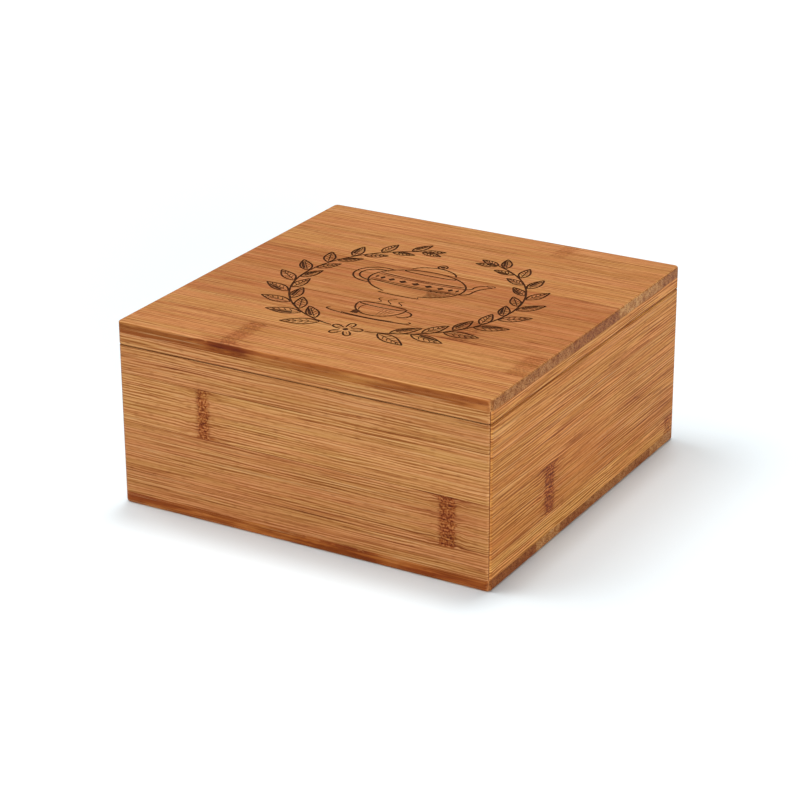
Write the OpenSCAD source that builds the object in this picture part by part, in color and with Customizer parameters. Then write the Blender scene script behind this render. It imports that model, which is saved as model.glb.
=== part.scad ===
// Tea bag organizer box: a square bamboo box with four compartments and a hinged lid.
// Millimetres. The origin is the centre of the underside, +Z is up and the front faces -Y.
// Boards lie flat with their grain along X; walls, rim and dividers stand on edge.

/* [Box] */
// Outside width, left to right
box_w = 160; // [130:1:300]
// Outside depth, front to back
box_d = 160; // [130:1:300]
// Height of the four walls between the base board and the seam
wall_h = 60.8; // [40:0.1:120]
// Thickness of the walls and of the lid rim
wall_t = 7; // [6.5:0.5:12]
// Thickness of the base board
base_t = 4.6; // [3:0.1:10]
// Radius of the four upright corners
corner_r = 2; // [1.5:0.5:4]
// Radius along the lower edge of the base board
foot_edge_r = 1; // [0.3:0.1:1.2]

/* [Lid] */
// Thickness of the lid board
lid_t = 4.5; // [3:0.1:10]
// Height of the rim under the lid board
rim_h = 4.8; // [4:0.1:20]
// Gap between the rim and the walls when the lid is shut
seam_gap = 0.3; // [0.3:0.05:1]
// Radius along the two outer edges at the seam
lip_r = 0.45; // [0.2:0.05:0.8]
// Radius along the upper edge of the lid board
top_edge_r = 0.8; // [0.3:0.1:1.2]

/* [Dividers] */
// Thickness of the two dividers
divider_t = 4; // [3:0.5:8]
// Height of the two dividers
divider_h = 54; // [20:1:60]
// Depth of the grooves that hold the divider ends
groove_depth = 2; // [1:0.5:3.5]
// Room on each side of a divider in its groove and halving
divider_fit = 0.1; // [0.05:0.05:0.3]
// Chamfer on the upper edges of the dividers
divider_ease = 0.5; // [0.2:0.1:1]

/* [Hinges] */
// Length of a hinge along the back
hinge_len = 20; // [16:1:30]
// Distance from a side of the box to the middle of its hinge
hinge_inset = 35; // [20:1:45]
// Thickness of a hinge leaf
leaf_t = 0.8; // [0.6:0.1:1.2]
// Reach of a leaf from the pin into the box
leaf_w = 5.6; // [5:0.1:6]
// Diameter of the hinge pin
pin_d = 1.6; // [1.2:0.1:2]
// Depth of the pin's axis inside the back face; it sets where the lid stops
axis_inset = 0.33; // [0.2:0.01:0.6]
// Radial running clearance of the pin
pin_fit = 0.04; // [0.02:0.01:0.08]
// Gap between neighbouring knuckles
knuckle_gap = 0.2; // [0.1:0.05:0.4]
// Gap between the shut leaves
leaf_gap = 0.2; // [0.1:0.05:0.3]
// Room round a leaf and its barrel in the wood
mortise_fit = 0.25; // [0.15:0.05:0.5]

/* [Screws] */
// Diameter of the countersunk head
screw_head_d = 2.8; // [2.4:0.1:3.2]
// Diameter of the shank
screw_d = 1.4; // [1.2:0.1:1.8]
// Length from the head's face to the tip
screw_len = 6; // [4:0.5:8]
// Distance between the two screws of a leaf
screw_spacing = 12; // [9:1:16]
// Room round a screw in the leaf and in the wood
screw_fit = 0.05; // [0.02:0.01:0.15]
// Depth of a screw head's face below the leaf's face
head_recess = 0.05; // [0.02:0.01:0.1]

/* [Hidden] */
$fn = 48;

// Colours of the materials
wall_bamboo = "#c08850";
board_bamboo = "#b9794a";
divider_bamboo = "#cf9a62";
brass = "#b8954f";
pin_steel = "#9a9a98";

// Levels, from the base up
wall_z0 = base_t;
wall_z1 = wall_z0 + wall_h;
rim_z0 = wall_z1 + seam_gap;
rim_z1 = rim_z0 + rim_h;
seam_z = wall_z1 + seam_gap / 2;

// Hinge barrel: the axis lies on the seam's mid-height, just inside the back face
bore_r = pin_d / 2 + pin_fit;
knuckle_r = bore_r + leaf_t;
knuckle_w = (hinge_len - 2 * knuckle_gap) / 3;
axis_y = box_d / 2 - axis_inset;
relief_r = knuckle_r + mortise_fit;
leaf_far_z = leaf_gap / 2 + leaf_t;
hinge_xs = [-(box_w / 2 - hinge_inset), box_w / 2 - hinge_inset];

// The screws stand in the middle of the flat of the leaf
screw_y = -(relief_r + leaf_w) / 2;
head_h = (screw_head_d - screw_d) / 2;
tip_h = screw_d;

// Cross recess in a screw's head
cross_w = 0.4;
cross_len = 1.7;
cross_depth = 0.4;

// A cut reaches this far past the face that it opens
past = 1;

// ---- blocks over the whole plan ----

// Section with its two upper corners rounded, centred on x and standing on y = 0
module rounded_section(width, height, edge_r) {
    translate([-width / 2, 0]) square([width, height - edge_r]);
    translate([-width / 2 + edge_r, 0]) square([width - 2 * edge_r, height]);
    for (side = [-1, 1])
        translate([side * (width / 2 - edge_r), height - edge_r]) circle(edge_r);
}

// Block over the box's plan, from z = 0 up; its upright corners and its upper edge are rounded
module rounded_block(height, edge_r) {
    x = box_w / 2 - corner_r;
    y = box_d / 2 - corner_r;
    translate([-x, 0, 0]) rotate([90, 0, 90]) linear_extrude(2 * x) rounded_section(box_d, height, edge_r);
    translate([0, y, 0]) rotate([90, 0, 0]) linear_extrude(2 * y) rounded_section(box_w, height, edge_r);
    for (corner_x = [-x, x], corner_y = [-y, y])
        translate([corner_x, corner_y, 0])
            rotate_extrude()
                intersection() {
                    rounded_section(2 * corner_r, height, edge_r);
                    square([corner_r, height]);
                }
}

// ---- mitred strips: the walls and the rim ----

// Plan of a strip along X whose outer face is at y = -reach, mitred at both ends
module mitred_plan(length, reach) {
    x = length / 2;
    polygon([[-x, -reach], [x, -reach], [x - wall_t, -reach + wall_t], [-x + wall_t, -reach + wall_t]]);
}

// The strip that a side takes of a block: front 0, right 90, back 180, left 270
module side_strip(turn, height) {
    across = turn % 180 == 0;
    intersection() {
        children();
        rotate([0, 0, turn])
            linear_extrude(height)
                mitred_plan(across ? box_w : box_d, (across ? box_d : box_w) / 2);
    }
}

// A wall with the groove for a divider's end down the middle of its inner face
module grooved_wall(turn) {
    reach = (turn % 180 == 0 ? box_d : box_w) / 2;
    groove_w = divider_t + 2 * divider_fit;
    translate([0, 0, wall_z0])
        difference() {
            side_strip(turn, wall_h) rounded_block(wall_h, lip_r);
            rotate([0, 0, turn])
                translate([-groove_w / 2, -reach + wall_t - groove_depth, -past])
                    cube([groove_w, groove_depth + past, wall_h + 2 * past]);
        }
}

// A piece of the lid's rim: a wall's strip with the rounded edge downwards
module rim_strip(turn) {
    translate([0, 0, rim_z0])
        side_strip(turn, rim_h)
            translate([0, 0, rim_h]) mirror([0, 0, 1]) rounded_block(rim_h, lip_r);
}

// ---- dividers ----

// A divider along X that stands on the base board, with its ends in the wall grooves
module divider(inner_length, slot_from_top) {
    length = inner_length + 2 * (groove_depth - divider_fit);
    slot_w = divider_t + 2 * divider_fit;
    slot_h = divider_h / 2 + divider_fit;
    slot_z = slot_from_top ? divider_h - slot_h : 0;
    e = divider_ease;
    y = divider_t / 2;
    translate([0, 0, base_t])
        difference() {
            translate([-length / 2, 0, 0])
                rotate([90, 0, 90])
                    linear_extrude(length)
                        polygon([
                            [-y, 0], [y, 0], [y, divider_h - e],
                            [y - e, divider_h], [-y + e, divider_h], [-y, divider_h - e]
                        ]);
            translate([-slot_w / 2, -divider_t, slot_z - (slot_from_top ? 0 : past)])
                cube([slot_w, 2 * divider_t, slot_h + past]);
        }
}

// ---- hinges, about the pin's axis: x along it, -y into the box ----

// The three knuckles share the barrel's length; 0 and 2 belong to the box, 1 to the lid
function knuckle_x(i) = -hinge_len / 2 + i * (knuckle_w + knuckle_gap);

// A cylinder along X
module along_x(radius, x0, length) {
    translate([x0, 0, 0]) rotate([0, 90, 0]) cylinder(r = radius, h = length);
}

// The flat of a lower leaf; the knuckles' tongues join it to the barrel
module leaf_flat(owned) {
    z0 = -leaf_far_z;
    tongue_y = -(bore_r + leaf_t / 4); // a quarter into the barrel's wall
    translate([-hinge_len / 2, -leaf_w, z0]) cube([hinge_len, leaf_w - relief_r, leaf_t]);
    for (i = owned)
        translate([knuckle_x(i), -leaf_w, z0]) cube([knuckle_w, leaf_w + tongue_y, leaf_t]);
}

// One leaf of a hinge: its flat, its knuckles, the pin's bore and two countersunk holes
module hinge_leaf(owned) {
    difference() {
        union() {
            leaf_flat(owned);
            for (i = owned) along_x(knuckle_r, knuckle_x(i), knuckle_w);
        }
        along_x(bore_r, -hinge_len / 2 - past, hinge_len + 2 * past);
        for (x = [-screw_spacing / 2, screw_spacing / 2])
            translate([x, screw_y, -leaf_gap / 2]) countersink();
    }
}

// Space that a leaf and its barrel take out of the wood below the seam
module leaf_mortise() {
    f = mortise_fit;
    half = hinge_len / 2 + f;
    translate([-half, -leaf_w - f, -leaf_far_z])
        cube([2 * half, leaf_w + f + axis_inset + past, leaf_far_z + past]);
    along_x(relief_r, -half, 2 * half);
}

// ---- screws: the head's face at z = 0, the tip downwards ----

module wood_screw() {
    difference() {
        union() {
            translate([0, 0, -head_h]) cylinder(r1 = screw_d / 2, r2 = screw_head_d / 2, h = head_h);
            translate([0, 0, -(screw_len - tip_h)])
                cylinder(r = screw_d / 2, h = screw_len - tip_h - head_h / 2);
            translate([0, 0, -screw_len]) cylinder(r1 = 0, r2 = screw_d / 2, h = tip_h);
        }
        for (turn = [0, 90])
            rotate([0, 0, turn])
                translate([-cross_len / 2, -cross_w / 2, -cross_depth])
                    cube([cross_len, cross_w, cross_depth + past]);
    }
}

// Hole in a leaf for a screw, from the leaf's shut face at z = 0
module countersink() {
    translate([0, 0, -head_recess]) {
        translate([0, 0, -head_h])
            cylinder(r1 = screw_d / 2 + screw_fit, r2 = screw_head_d / 2 + screw_fit, h = head_h);
        cylinder(r = screw_head_d / 2 + screw_fit, h = past);
        translate([0, 0, -leaf_t - past]) cylinder(r = screw_d / 2 + screw_fit, h = leaf_t + past);
    }
}

// Pilot hole in the wood under a leaf
module pilot() {
    depth = screw_len + head_recess + screw_fit;
    translate([0, 0, -depth]) cylinder(r = screw_d / 2 + screw_fit, h = depth);
}

// ---- placing: at each hinge, below the seam or mirrored above it ----

module at_hinge(x) {
    translate([x, axis_y, seam_z]) children();
}

module above_seam() {
    mirror([0, 0, 1]) children();
}

module at_screws() {
    for (x = [-screw_spacing / 2, screw_spacing / 2])
        translate([x, screw_y, -leaf_gap / 2 - head_recess]) children();
}

// What two lower leaves take out of the wood
module hinge_cuts() {
    for (x = hinge_xs)
        at_hinge(x) {
            leaf_mortise();
            at_screws() pilot();
        }
}

// The same above the seam, for the lid
module lid_hinge_cuts() {
    translate([0, 0, 2 * seam_z]) above_seam() hinge_cuts();
}

// ---- the nodes ----

module base_board() {
    color(board_bamboo) translate([0, 0, base_t]) mirror([0, 0, 1]) rounded_block(base_t, foot_edge_r);
}

module front_wall() {
    color(wall_bamboo) grooved_wall(0);
}

module right_wall() {
    color(wall_bamboo) grooved_wall(90);
}

module back_wall() {
    color(wall_bamboo) difference() {
        grooved_wall(180);
        hinge_cuts();
    }
}

module left_wall() {
    color(wall_bamboo) grooved_wall(270);
}

module long_divider() {
    color(divider_bamboo) divider(box_w - 2 * wall_t, true);
}

module cross_divider() {
    color(divider_bamboo) rotate([0, 0, 90]) divider(box_d - 2 * wall_t, false);
}

module body_leaf(x) {
    color(brass) at_hinge(x) hinge_leaf([0, 2]);
}

module hinge_pin(x) {
    color(pin_steel) at_hinge(x) along_x(pin_d / 2, -hinge_len / 2, hinge_len);
}

module body_leaf_screws() {
    color(brass) for (x = hinge_xs) at_hinge(x) at_screws() wood_screw();
}

module lid_board() {
    color(board_bamboo) difference() {
        translate([0, 0, rim_z1]) rounded_block(lid_t, top_edge_r);
        lid_hinge_cuts();
    }
}

module lid_rim_front() {
    color(wall_bamboo) rim_strip(0);
}

module lid_rim_right() {
    color(wall_bamboo) rim_strip(90);
}

module lid_rim_back() {
    color(wall_bamboo) difference() {
        rim_strip(180);
        lid_hinge_cuts();
    }
}

module lid_rim_left() {
    color(wall_bamboo) rim_strip(270);
}

module lid_leaf(x) {
    color(brass) at_hinge(x) above_seam() hinge_leaf([1]);
}

module lid_leaf_screws() {
    color(brass) for (x = hinge_xs) at_hinge(x) above_seam() at_screws() wood_screw();
}

base_board();
front_wall();
back_wall();
left_wall();
right_wall();
long_divider();
cross_divider();
body_leaf(hinge_xs[0]);  // body_leaf_left
body_leaf(hinge_xs[1]);  // body_leaf_right
hinge_pin(hinge_xs[0]);  // hinge_pin_left
hinge_pin(hinge_xs[1]);  // hinge_pin_right
body_leaf_screws();
lid_board();
lid_rim_front();
lid_rim_back();
lid_rim_left();
lid_rim_right();
lid_leaf(hinge_xs[0]);  // lid_leaf_left
lid_leaf(hinge_xs[1]);  // lid_leaf_right
lid_leaf_screws();
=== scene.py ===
"""Tea bag organizer box in carbonised bamboo: finishes, the engraved lid board and the studio around it."""

from math import cos, hypot, pi, radians, sin, tan

import bmesh
import bpy
from bpy.props import FloatProperty, FloatVectorProperty, PointerProperty
from mathutils import Matrix, Vector


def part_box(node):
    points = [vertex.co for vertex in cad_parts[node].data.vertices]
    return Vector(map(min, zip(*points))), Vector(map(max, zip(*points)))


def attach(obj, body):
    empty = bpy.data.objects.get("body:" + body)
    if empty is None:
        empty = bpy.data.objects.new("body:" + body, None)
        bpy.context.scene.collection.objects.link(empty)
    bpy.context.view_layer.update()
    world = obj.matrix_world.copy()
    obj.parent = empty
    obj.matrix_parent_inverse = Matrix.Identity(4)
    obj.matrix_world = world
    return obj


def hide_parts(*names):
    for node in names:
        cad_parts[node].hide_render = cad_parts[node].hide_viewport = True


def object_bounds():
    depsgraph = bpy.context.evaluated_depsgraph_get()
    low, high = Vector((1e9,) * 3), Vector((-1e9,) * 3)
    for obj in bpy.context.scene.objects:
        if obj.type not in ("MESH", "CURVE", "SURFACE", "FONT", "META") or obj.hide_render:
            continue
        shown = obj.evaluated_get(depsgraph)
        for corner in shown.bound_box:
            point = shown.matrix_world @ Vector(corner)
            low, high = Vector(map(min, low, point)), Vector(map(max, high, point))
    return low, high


bl_info = {
    "name": "Bamboo tea box",
    "version": (1, 0, 0),
    "blender": (4, 5, 0),
    "location": "3D View > Sidebar > Tea Box",
    "description": "Dresses the tea box with laminated bamboo, brass hinges and an engraved lid",
    "category": "Object",
}

MM = 0.001

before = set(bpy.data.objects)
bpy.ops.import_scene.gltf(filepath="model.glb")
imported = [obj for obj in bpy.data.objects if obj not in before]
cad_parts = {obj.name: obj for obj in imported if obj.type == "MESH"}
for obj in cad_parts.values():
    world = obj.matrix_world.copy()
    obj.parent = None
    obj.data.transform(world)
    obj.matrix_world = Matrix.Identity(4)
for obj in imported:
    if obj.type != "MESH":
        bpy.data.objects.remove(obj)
CAD_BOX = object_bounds()
LID_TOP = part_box("lid_board")[1].z

# Axes of a board's grain: along it, across its strips and into it, in the box's own axes.
GRAIN_TO_RIGHT_FLAT = ((1, 0, 0), (0, 1, 0), (0, 0, 1))
GRAIN_TO_RIGHT_UPRIGHT = ((1, 0, 0), (0, 0, 1), (0, -1, 0))
GRAIN_TO_BACK_UPRIGHT = ((0, 1, 0), (0, 0, 1), (1, 0, 0))

# Each strip of a board, from the lowest or front one: its shade, where 0 is the dark cane, 1 the pale cane
# and more is paler still, then its knuckle's place along the grain and half width in mm, and how strongly
# it shows.
# NO_KNUCKLE stands for a strip cut between two knuckles. Its place is far past the board's end.
NO_KNUCKLE = (300, 1, 0)
FRONT_STRIPS = [
    (0.5, *NO_KNUCKLE),
    (0.5, 62.5, 3.6, 1.0),
    (0.8, -42.0, 2.7, 1.0),
    (0.6, *NO_KNUCKLE),
]
RIGHT_STRIPS = [
    (1.6, 74.5, 4.0, 0.8),
    (0.5, -33.0, 3.9, 1.0),
    (0.7, *NO_KNUCKLE),
    (0.8, *NO_KNUCKLE),
]
BACK_STRIPS = [
    (0.5, -20.0, 3.4, 0.9),
    (0.3, *NO_KNUCKLE),
    (0.7, 30.0, 3.0, 1.0),
    (0.4, *NO_KNUCKLE),
]
LEFT_STRIPS = [
    (0.4, *NO_KNUCKLE),
    (0.7, 21.0, 3.2, 1.0),
    (0.3, -58.0, 3.8, 0.9),
    (0.6, *NO_KNUCKLE),
]
DIVIDER_STRIPS = [
    (0.8, *NO_KNUCKLE),
    (0.5, 26.0, 2.6, 0.8),
    (1.0, -47.0, 2.8, 0.7),
]
LID_STRIPS = [
    (0.6, -31.5, 3.8, 0.6),
    (0.6, 76.0, 4.0, 0.5),
    (0.3, 41.0, 4.2, 0.5),
    (0.3, *NO_KNUCKLE),
    (0.2, *NO_KNUCKLE),
    (0.6, *NO_KNUCKLE),
    (0.5, *NO_KNUCKLE),
    (0.6, 33.0, 3.4, 0.4),
]
BASE_STRIPS = [
    (0.5, 16.0, 14.0, 0.4),
    (0.3, 12.0, 3.6, 0.8),
    (0.6, *NO_KNUCKLE),
    (0.4, -50.0, 3.2, 0.8),
    (0.6, *NO_KNUCKLE),
    (0.3, 55.0, 3.4, 0.7),
    (0.7, *NO_KNUCKLE),
    (0.4, -12.0, 3.0, 0.8),
    (0.5, *NO_KNUCKLE),
]
# Shades of the sawn ends of the same strips, from the front one.
LID_ENDS = [0.5, 0.5, 0.4, 0.2, 0.2, 0.9, 0.7, 0.3]
BASE_ENDS = [0.1, 0.1, 0.8, 0.2, 0.4, 0.5, 0.3, 0.7, 0.5]


def linear(colour):
    """An sRGB hex colour as linear red, green, blue and alpha."""
    channels = [int(colour[i : i + 2], 16) / 255 for i in (1, 3, 5)]
    return (*(c / 12.92 if c <= 0.04045 else ((c + 0.055) / 1.055) ** 2.4 for c in channels), 1.0)


def between(first, second, share):
    """The linear colour that lies a share of the way from one colour to another."""
    return [a + (b - a) * share for a, b in zip(first, second)]


def colour_property(name, description, colour):
    """A colour that the sidebar can change, with its default as an sRGB hex value."""
    return FloatVectorProperty(
        name=name, description=description, subtype="COLOR", size=4, min=0, max=1, default=linear(colour)
    )


def length_property(name, description, millimetres):
    """A length that the sidebar can change, with its default in mm."""
    return FloatProperty(
        name=name, description=description, unit="LENGTH", min=0, precision=5, default=millimetres * MM
    )


class BambooLook(bpy.types.PropertyGroup):
    """Sizes and colours of the laminated bamboo."""

    strip_width: length_property("Strip width", "Width of one glued strip", 20)
    bundle_pitch: length_property("Bundle pitch", "Width of one bundle of fibres", 0.8)
    fibre_pitch: length_property("Fibre pitch", "Distance between two fine fibre lines", 1.0)
    fleck_size: length_property("Fleck size", "Size of one fleck in a knuckle", 0.75)
    line_pitch: length_property("Line pitch", "Distance between two dark grain lines", 1.8)
    glue_line: length_property("Glue line", "Width of the glue line between two strips", 0.25)
    mitre_line: length_property("Mitre line", "Width of the glue line in a mitred corner", 0.3)
    dark_cane: colour_property("Dark cane", "Colour of the darkest strips", "#b5774d")
    pale_cane: colour_property("Pale cane", "Colour of the palest strips", "#d8ab78")
    golden_cane: colour_property("Golden cane", "Yellower cane that some boards are cut from", "#e29c3c")
    lid_edge: colour_property("Lid edge", "Colour of the lid board's long edges", "#c6905a")
    base_edge: colour_property("Base edge", "Colour of the base board's long edges", "#c6864e")
    dark_end: colour_property("Dark end", "Colour of the darkest sawn ends", "#985624")
    pale_end: colour_property("Pale end", "Colour of the palest sawn ends", "#cc9a60")
    dark_fibre: colour_property("Dark fibre", "Tint of the dense fibres", "#bd9c78")
    mid_fibre: colour_property("Mid fibre", "Tint of the tissue beside the fibres", "#ebddcb")
    pale_fibre: colour_property("Pale fibre", "Tint of the soft tissue between them", "#ffffff")
    rosy_patch: colour_property("Rosy patch", "Tint of the broad redder patches", "#fdebdc")
    golden_patch: colour_property("Golden patch", "Tint of the broad yellower patches", "#f6eed2")
    grain_line: colour_property("Grain line", "Tint of the thin dark lines", "#bd9a7c")
    glow_line: colour_property("Light line", "Colour of the thin light lines", "#dcb07a")
    knuckle: colour_property("Knuckle", "Tint of the band where the cane had a joint", "#d6b08a")
    fleck: colour_property("Fleck", "Tint of the dark flecks in a knuckle", "#9c6a3a")
    trail: colour_property("Trail", "Tint of the dark streaks that leave a knuckle", "#c59a68")
    cut_knuckle: colour_property("Cut knuckle", "Tint of a knuckle on a board's long edge", "#d8b884")
    # Sanding wear and a painted highlight: the paler colour laid on the rounded edges and corners.
    wear_and_highlight: colour_property("Sanded edge", "Colour of the sanded edges and corners", "#c8945e")
    glue: colour_property("Glue", "Tint of a glue line", "#c9ad90")
    mitre: colour_property("Mitre", "Tint of the glue line in a mitred corner", "#94694a")
    vessel: colour_property("Vessel", "Tint of the vessels in sawn end grain", "#a87f52")
    burnt: colour_property("Burnt line", "Deepest colour of the engraved lines", "#27150b")
    scorched: colour_property("Scorched line", "Palest colour of the engraved lines", "#5a3115")


class EngravingSizes(bpy.types.PropertyGroup):
    """Sizes of the engraved tea wreath."""

    bold_line: length_property("Bold line", "Width of an outline", 0.8)
    fine_line: length_property("Fine line", "Width of a vein or a hatching line", 0.5)
    fill_depth: length_property("Fill depth", "Depth of the filled shapes", 0.22)
    wreath_radius: length_property("Wreath radius", "Radius of the wreath's stems", 46)
    leaf_length: length_property("Leaf length", "Length of the largest leaf", 15.5)
    leaf_width: length_property("Leaf width", "Width of the largest leaf", 6.4)


class MetalLook(bpy.types.PropertyGroup):
    """Colours of the hinges."""

    brass: colour_property("Brass", "Rolled brass of the hinge leaves and screws", "#c79a4e")
    brass_stain: colour_property("Brass stain", "Duller patches on the brass", "#a9803f")
    steel: colour_property("Steel", "Drawn steel of the hinge pins", "#a9adb2")


class StudioSettings(bpy.types.PropertyGroup):
    """Floor, lights and camera."""

    floor: colour_property("Floor", "Colour of the floor", "#e7f0f4")
    floor_size: FloatProperty(name="Floor size", description="Side of the floor", unit="LENGTH", default=14)
    sky_strength: FloatProperty(name="Sky", description="Strength of the even surround", default=0.2)
    top_strength: FloatProperty(name="Top light", description="Strength of the top light", default=2.1)
    left_strength: FloatProperty(name="Left light", description="Strength of the left light", default=1.42)
    front_strength: FloatProperty(name="Front light", description="Strength of the front light", default=2.5)
    azimuth: FloatProperty(
        name="Azimuth", description="Camera's turn to the right", subtype="ANGLE", default=radians(29.94)
    )
    elevation: FloatProperty(
        name="Elevation", description="Camera's height angle", subtype="ANGLE", default=radians(22.74)
    )
    roll: FloatProperty(name="Roll", description="Camera's tilt", subtype="ANGLE", default=radians(-0.26))
    distance: FloatProperty(
        name="Distance", description="From the box's middle to the camera", unit="LENGTH", default=1.0072
    )
    lens: FloatProperty(name="Lens", description="Focal length", unit="CAMERA", default=115.2)
    aside: length_property("Aside", "Camera's place to the left of the box's middle", 2.4)
    below: length_property("Below", "Camera's place under the line to the box's middle", 7.2)


# ---------------------------------------------------------------- shader nodes


def add(tree, kind, inputs=None, ramp=None, **settings):
    """Adds a shader node with its settings and inputs, and returns its first output in use."""
    node = tree.nodes.new("ShaderNode" + kind)
    for setting, value in settings.items():
        setattr(node, setting, value)
    if ramp:
        interpolation, stops = ramp
        node.color_ramp.interpolation = interpolation
        node.color_ramp.elements.remove(node.color_ramp.elements[1])
        node.color_ramp.elements[0].position = stops[0][0]
        node.color_ramp.elements[0].color = stops[0][1]
        for place, colour in stops[1:]:
            node.color_ramp.elements.new(place).color = colour
    sockets = [socket for socket in node.inputs if socket.enabled]
    for key, value in (inputs or {}).items():
        socket = sockets[key] if isinstance(key, int) else next(s for s in sockets if s.name == key)
        if isinstance(value, bpy.types.NodeSocket):
            tree.links.new(value, socket)
        else:
            socket.default_value = value
    return next((socket for socket in node.outputs if socket.enabled), None)


def blank_material(name):
    """A material with an empty node tree."""
    material = bpy.data.materials.new(name)
    material.use_nodes = True
    material.node_tree.nodes.clear()
    return material, material.node_tree


def steps_of(values):
    """Stops of a ramp that holds one colour for each strip."""
    return [(number / len(values), value) for number, value in enumerate(values)]


# ---------------------------------------------------------------- bamboo


# Settings of a Mix node that multiplies two colours, and of one that blends them.
MULTIPLY = {"data_type": "RGBA", "blend_type": "MULTIPLY"}
BLEND = {"data_type": "RGBA"}


def streaks(tree, place, length, width, detail=2.0, roughness=0.5):
    """Uneven streaks drawn out along the grain: length and width are their real sizes in metres."""
    scaled = add(tree, "Mapping", {"Vector": place, "Scale": (1 / length, 1 / width, 1 / width)})
    return add(
        tree, "TexNoise", {"Vector": scaled, "Scale": 1.0, "Detail": detail, "Roughness": roughness},
        noise_dimensions="3D",
    )


def fibre_lines(tree, place, pitch):
    """Fine, nearly straight fibre lines along the grain, pitch apart, that slowly drift as real ones do."""
    drift_length = 11 * MM
    scaled = add(tree, "Mapping", {"Vector": place, "Scale": (1 / drift_length, 1 / pitch, 1 / pitch)})
    # At scale 1 the wave's bands lie pi / 10 apart, so scale pi / 10 puts them one pitch apart. With much
    # more distortion than this they could turn back on themselves.
    return add(
        tree, "TexWave",
        {"Vector": scaled, "Scale": pi / 10, "Distortion": 5.0, "Detail": 1.0, "Detail Scale": 1.2},
        bands_direction="Y",
    )


def band(tree, value, middle, solid, soft):
    """1 where value is within solid of middle, and 0 past soft."""
    away = add(tree, "Math", {0: value, 1: middle}, operation="SUBTRACT")
    away = add(tree, "Math", {0: away}, operation="ABSOLUTE")
    return add(
        tree, "MapRange", {"Value": away, "From Min": solid, "From Max": soft, "To Min": 1.0, "To Max": 0.0},
        interpolation_type="SMOOTHSTEP",
    )


def strip_numbers(tree, across, first_seam, width):
    """The strip that a point is in, counted from 0, and its place in that strip from 0 to 1."""
    steps = add(tree, "Math", {0: across, 1: first_seam}, operation="SUBTRACT")
    steps = add(tree, "Math", {0: steps, 1: width}, operation="DIVIDE")
    number = add(tree, "Math", {0: steps}, operation="FLOOR")
    number = add(tree, "Math", {0: number, 1: 0.0}, operation="MAXIMUM")
    inside = add(tree, "Math", {0: steps, 1: number}, operation="SUBTRACT")
    return number, inside


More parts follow.
